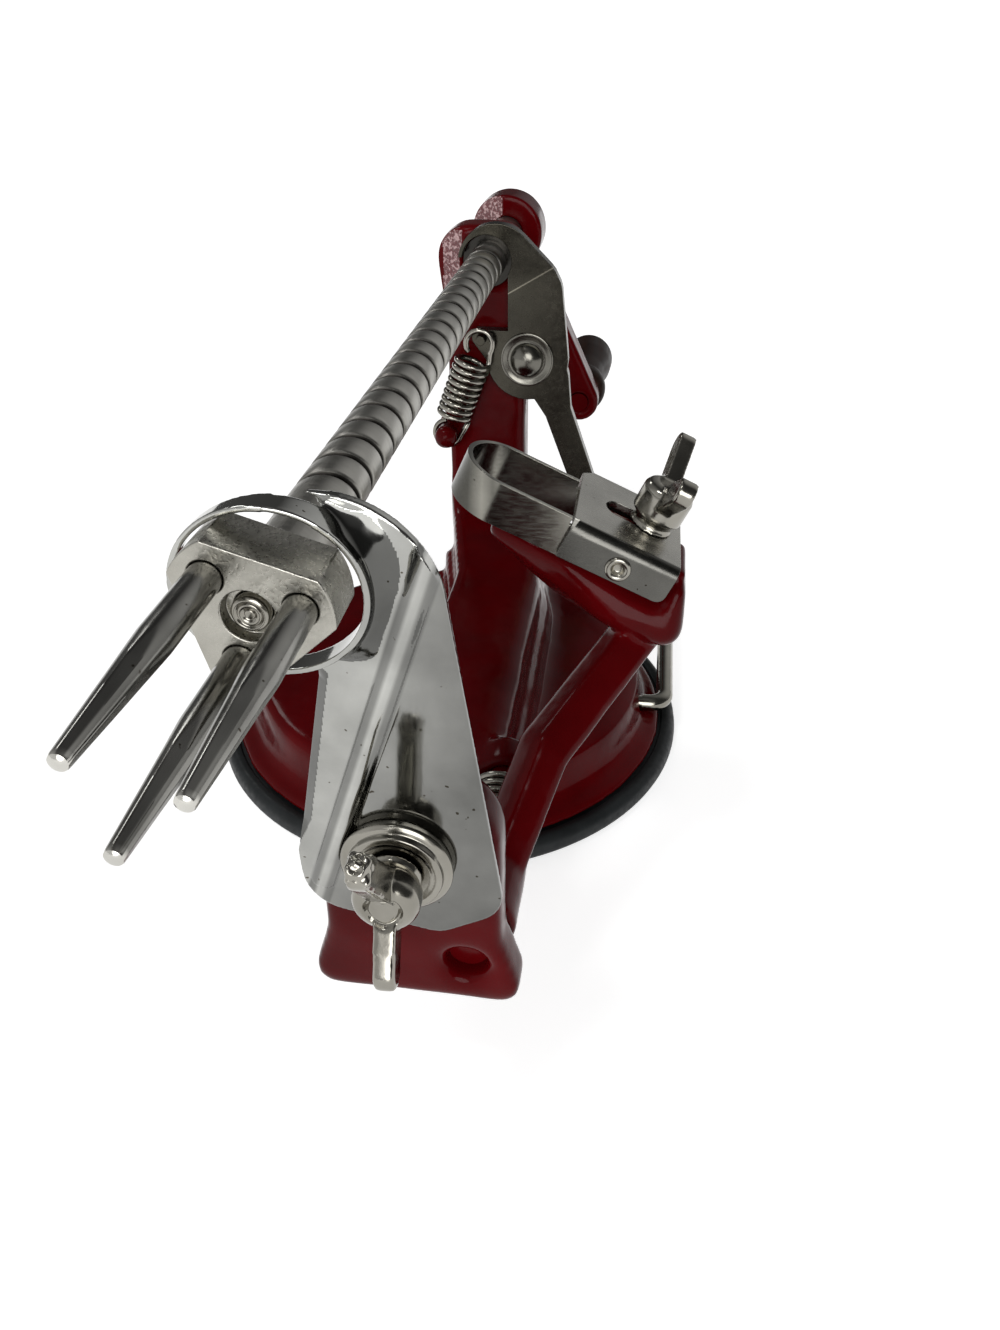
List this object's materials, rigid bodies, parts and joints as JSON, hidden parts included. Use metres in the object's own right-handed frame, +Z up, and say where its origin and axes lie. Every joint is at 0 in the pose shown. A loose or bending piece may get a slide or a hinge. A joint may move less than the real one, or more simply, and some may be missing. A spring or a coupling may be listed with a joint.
{
  "type": "apple peeler",
  "caption": "Hand-cranked apple peeler, corer and slicer: feed screw with fork, sprung peeling arm, slicing plate and latch on a red casting with a suction foot.",
  "frame": {"origin": "on the table, straight below the feed screw's axis, inside the suction foot", "axes": "+X to the right seen from the fork, +Y back along the feed screw towards the crank, +Z up"},
  "size_m": [0.102, 0.2627, 0.0981],
  "materials": {
    "enamel": "gloss red enamel on a casting",
    "nickel": "nickel plate",
    "steel": "rolled and polished steel",
    "rubber": "matt black rubber",
    "grip": "dark red lacquer"
  },
  "bodies": {
    "frame_body": {"body_casting": "enamel", "suction_cup": "rubber", "slicer_plate": "steel", "coring_ring": "steel", "slicer_washer": "nickel", "arm_pivot_pin": "nickel", "latch_rivet": "nickel", "latch_spring": "nickel", "arm_spring": "nickel"},
    "lever": {"suction_lever": "nickel", "suction_cam": "steel"},
    "stem": {"suction_stem": "steel"},
    "bush": {"shaft_bush": "steel"},
    "screw": {"feed_screw": "steel", "fork_head": "nickel", "fork_prongs": "nickel", "crank_arm": "enamel", "crank_nut": "nickel", "handle_spindle": "nickel"},
    "grip": {"handle_grip": "grip"},
    "latch": {"latch_plate": "nickel"},
    "slicer_screw": {"slicer_wing_screw": "nickel"},
    "arm": {"peeling_arm": "enamel", "blade_bracket": "nickel", "peeling_blade": "steel", "blade_rivets": "nickel"},
    "bracket_screw": {"bracket_wing_screw": "nickel"}
  },
  "joints": [
    {"name": "crank_spin", "type": "hinge", "parent": "frame_body", "child": "bush", "pos_m": [0, 0.0585, 0.088], "axis": [0, 1, 0], "range_deg": [0, 6480]},
    {"name": "screw_feed", "type": "slide", "parent": "bush", "child": "screw", "axis": [0, 1, 0], "range_m": [0, 0.1081]},
    {"name": "grip_spin", "type": "hinge", "parent": "screw", "child": "grip", "pos_m": [0.01986, 0.11, 0.0454], "axis": [0, 1, 0], "continuous": true},
    {"name": "latch_release", "type": "hinge", "parent": "frame_body", "child": "latch", "pos_m": [0.0096, 0.0497, 0.0672], "axis": [0, 1, 0], "range_deg": [0, 4.5], "stiffness_Nm_per_rad": 0.12, "springref_deg": -45.84, "deforming": ["latch_spring"]},
    {"name": "arm_swing", "type": "hinge", "parent": "frame_body", "child": "arm", "pos_m": [0.0187, -0.0747, 0.0265], "axis": [0, 1, 0], "range_deg": [0, 40], "stiffness_Nm_per_rad": 0.15, "springref_deg": -57.3, "deforming": ["arm_spring"]},
    {"name": "suction_lever", "type": "hinge", "parent": "frame_body", "child": "lever", "pos_m": [-0.001, -0.002, 0.008], "axis": [1, 0, 0], "range_deg": [0, 100]},
    {"name": "stem_lift", "type": "slide", "parent": "frame_body", "child": "stem", "axis": [0, 0, 1], "range_m": [-0.00153, 0], "deforming": ["suction_cup"]},
    {"name": "slicer_clamp", "type": "hinge", "parent": "frame_body", "child": "slicer_screw", "pos_m": [0.0108, -0.095, 0.0475], "axis": [0, 1, 0], "continuous": true},
    {"name": "bracket_clamp", "type": "hinge", "parent": "arm", "child": "bracket_screw", "pos_m": [0.03969, -0.0334, 0.06659], "axis": [0.4067, 0, 0.9135], "continuous": true}
  ],
  "couplings": [
    {"joint": "screw_feed", "follows": "crank_spin", "m_per_rad": 0.00095493},
    {"joint": "suction_lever", "follows": "stem_lift", "rad_per_m": -1143.7}
  ]
}
